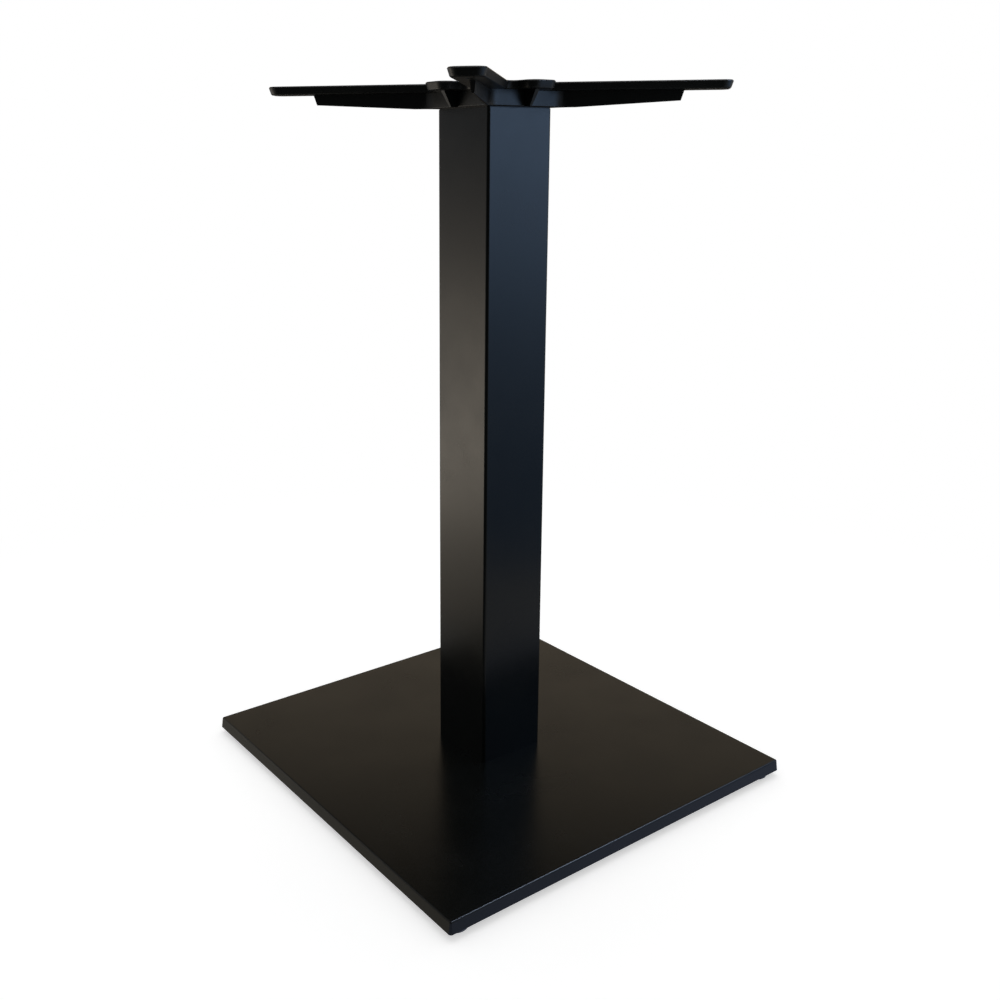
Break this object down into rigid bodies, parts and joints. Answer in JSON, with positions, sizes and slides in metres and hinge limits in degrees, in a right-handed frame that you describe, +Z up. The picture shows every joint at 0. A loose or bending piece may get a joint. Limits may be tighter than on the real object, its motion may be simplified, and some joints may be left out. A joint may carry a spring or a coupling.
{
  "type": "square pedestal table base",
  "caption": "Pedestal table base: a flat square foot plate on screw-in glides, a square column and a cast spider whose arms are screwed to the underside of a table top.",
  "frame": {"origin": "on the floor, under the middle of the column", "axes": "+Z up along the column; +X and +Y square to the sides of the foot plate and of the column"},
  "size_m": [0.45, 0.45, 0.73],
  "materials": {
    "coated_iron": "satin black powder coat on cast iron",
    "coated_steel": "satin black powder coat on steel tube",
    "zinc_steel": "bright zinc plated",
    "nylon": "moulded black nylon"
  },
  "bodies": {
    "stand": {"foot_plate": "coated_iron", "column_tube": "coated_steel", "spider": "coated_iron", "tie_rod": "zinc_steel", "lower_washer": "zinc_steel", "lower_nut": "zinc_steel", "upper_washer": "zinc_steel", "spring_washer": "zinc_steel", "upper_nut": "zinc_steel"},
    "glide_1_stem": {"glide_1_stem": "zinc_steel"},
    "glide_1_foot": {"glide_1_foot": "nylon"},
    "glide_2_stem": {"glide_2_stem": "zinc_steel"},
    "glide_2_foot": {"glide_2_foot": "nylon"},
    "glide_3_stem": {"glide_3_stem": "zinc_steel"},
    "glide_3_foot": {"glide_3_foot": "nylon"},
    "glide_4_stem": {"glide_4_stem": "zinc_steel"},
    "glide_4_foot": {"glide_4_foot": "nylon"}
  },
  "joints": [
    {"name": "glide_1_lift", "type": "slide", "parent": "stand", "child": "glide_1_stem", "axis": [0, 0, -1], "range_m": [0, 0.005]},
    {"name": "glide_1_turn", "type": "hinge", "parent": "glide_1_stem", "child": "glide_1_foot", "pos_m": [-0.207, -0.207, 0], "axis": [0, 0, -1], "range_deg": [0, 1440]},
    {"name": "glide_2_lift", "type": "slide", "parent": "stand", "child": "glide_2_stem", "axis": [0, 0, -1], "range_m": [0, 0.005]},
    {"name": "glide_2_turn", "type": "hinge", "parent": "glide_2_stem", "child": "glide_2_foot", "pos_m": [-0.207, 0.207, 0], "axis": [0, 0, -1], "range_deg": [0, 1440]},
    {"name": "glide_3_lift", "type": "slide", "parent": "stand", "child": "glide_3_stem", "axis": [0, 0, -1], "range_m": [0, 0.005]},
    {"name": "glide_3_turn", "type": "hinge", "parent": "glide_3_stem", "child": "glide_3_foot", "pos_m": [0.207, -0.207, 0], "axis": [0, 0, -1], "range_deg": [0, 1440]},
    {"name": "glide_4_lift", "type": "slide", "parent": "stand", "child": "glide_4_stem", "axis": [0, 0, -1], "range_m": [0, 0.005]},
    {"name": "glide_4_turn", "type": "hinge", "parent": "glide_4_stem", "child": "glide_4_foot", "pos_m": [0.207, 0.207, 0], "axis": [0, 0, -1], "range_deg": [0, 1440]}
  ],
  "couplings": [
    {"joint": "glide_1_lift", "follows": "glide_1_turn", "m_per_rad": 0.0001989},
    {"joint": "glide_2_lift", "follows": "glide_2_turn", "m_per_rad": 0.0001989},
    {"joint": "glide_3_lift", "follows": "glide_3_turn", "m_per_rad": 0.0001989},
    {"joint": "glide_4_lift", "follows": "glide_4_turn", "m_per_rad": 0.0001989}
  ]
}
